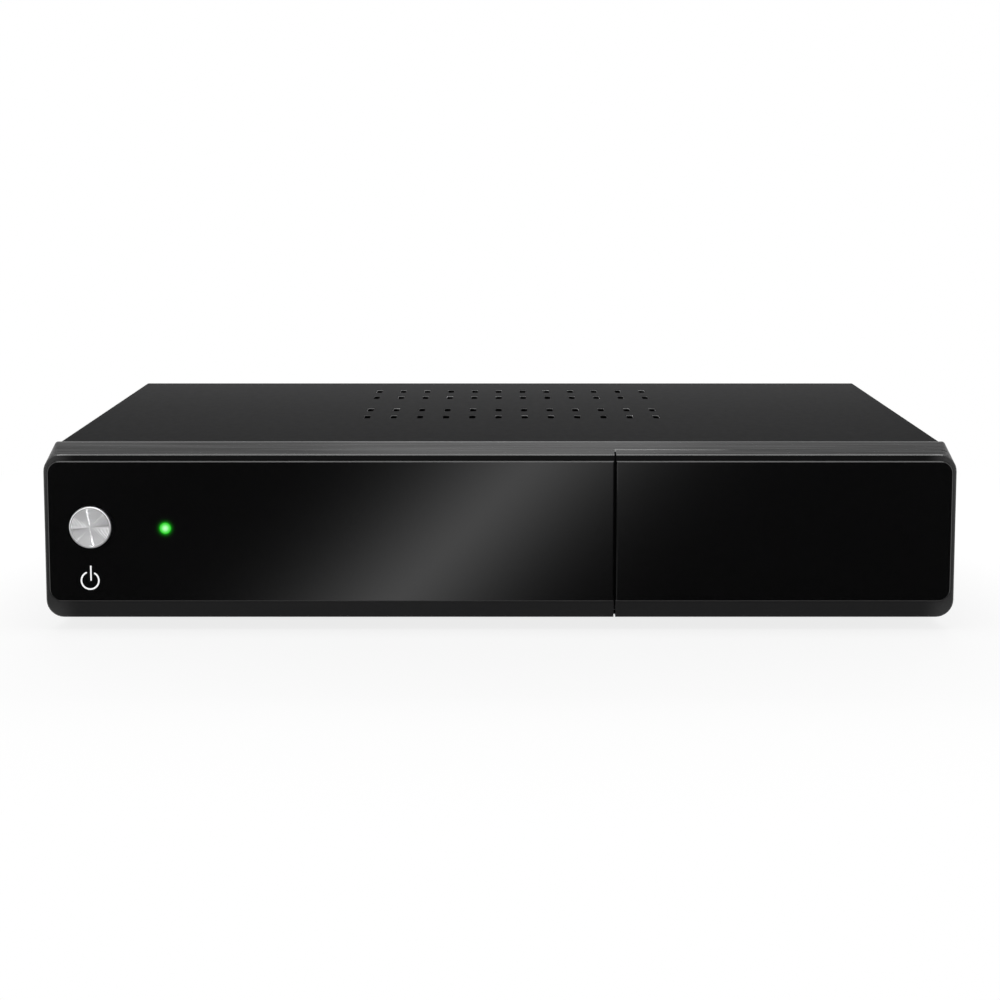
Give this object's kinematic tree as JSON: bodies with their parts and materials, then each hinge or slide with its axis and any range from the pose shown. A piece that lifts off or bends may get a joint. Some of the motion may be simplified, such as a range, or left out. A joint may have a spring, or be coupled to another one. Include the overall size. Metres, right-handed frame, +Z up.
{
  "type": "cable tv receiver",
  "caption": "Flat steel-cased television receiver with a split gloss front, a round push button, a fold-down flap over a card bay, rear sockets and a rocker switch.",
  "frame": {"origin": "middle of the overall box at the underside of the rubber feet", "axes": "+X to the right seen from the front, +Y from the front to the rear, +Z up"},
  "size_m": [0.26, 0.2074, 0.0528],
  "materials": {
    "bezel_plastic": "fine satin moulding",
    "window_acrylic": "polished black acrylic",
    "button_aluminium": "spun face",
    "black_plastic": "moulded",
    "pale_plastic": "moulded",
    "light_plastic": "clear green, lit",
    "board_laminate": "solder mask",
    "zinc_steel": "zinc plated",
    "magnet_nickel": "nickel plated",
    "ribbon_film": "film",
    "tray_paint": "fine powder coat",
    "cover_paint": "fine powder coat",
    "foot_rubber": "matt",
    "standoff_brass": "turned",
    "chip_plastic": "moulded",
    "sink_aluminium": "extruded",
    "capacitor_sleeve": "shrunk sleeve",
    "tinplate": "bright tinplate",
    "socket_nickel": "nickel plated",
    "video_yellow": "moulded",
    "audio_white": "moulded",
    "audio_red": "moulded"
  },
  "bodies": {
    "case": {"front_bezel": "bezel_plastic", "front_window": "window_acrylic", "power_switch_body": "black_plastic", "av_socket_block": "black_plastic", "dc_inlet": "black_plastic", "rocker_housing": "black_plastic", "module_cage": "black_plastic", "card_reader": "black_plastic", "socket_tongues": "black_plastic", "remote_receiver": "black_plastic", "ribbon_connectors": "pale_plastic", "aerial_insulators": "pale_plastic", "light_pipe": "light_plastic", "status_led": "light_plastic", "front_board": "board_laminate", "main_board": "board_laminate", "flap_hinge_pins": "zinc_steel", "front_board_screws": "zinc_steel", "bezel_screws": "zinc_steel", "board_screws": "zinc_steel", "reader_bracket": "zinc_steel", "flap_magnet": "magnet_nickel", "ribbon_cable": "ribbon_film", "base_tray": "tray_paint", "top_cover": "cover_paint", "cover_screws": "cover_paint", "rubber_feet": "foot_rubber", "board_standoffs": "standoff_brass", "processor": "chip_plastic", "memory_chips": "chip_plastic", "heat_sink": "sink_aluminium", "capacitors": "capacitor_sleeve", "tuner_can": "tinplate", "hdmi_socket": "tinplate", "rear_usb_socket": "tinplate", "front_usb_socket": "tinplate", "network_socket": "tinplate", "aerial_barrels": "socket_nickel", "aerial_nuts": "socket_nickel", "av_socket_shells": "socket_nickel", "dc_inlet_pin": "socket_nickel", "av_insert_video": "video_yellow", "av_insert_left": "audio_white", "av_insert_right": "audio_red"},
    "flap": {"flap_frame": "bezel_plastic", "flap_window": "window_acrylic", "flap_striker": "zinc_steel"},
    "button": {"power_button_cap": "button_aluminium", "power_button_stem": "black_plastic"},
    "plunger": {"power_switch_plunger": "pale_plastic"},
    "rocker": {"rocker": "black_plastic"}
  },
  "joints": [
    {"name": "flap_fold", "type": "hinge", "parent": "case", "child": "flap", "pos_m": [0.0814, -0.09945, 0.0059], "axis": [1, 0, 0], "range_deg": [0, 90]},
    {"name": "button_press", "type": "slide", "parent": "case", "child": "button", "axis": [0, 1, 0], "range_m": [0, 0.0006], "stiffness_N_per_m": 2500},
    {"name": "plunger_press", "type": "slide", "parent": "case", "child": "plunger", "axis": [0, 1, 0], "range_m": [0, 0.0006]},
    {"name": "rocker_tilt", "type": "hinge", "parent": "case", "child": "rocker", "pos_m": [0.102, 0.09215, 0.0305], "axis": [1, 0, 0], "range_deg": [0, 20]}
  ],
  "couplings": [
    {"joint": "plunger_press", "follows": "button_press", "ratio": 1}
  ]
}
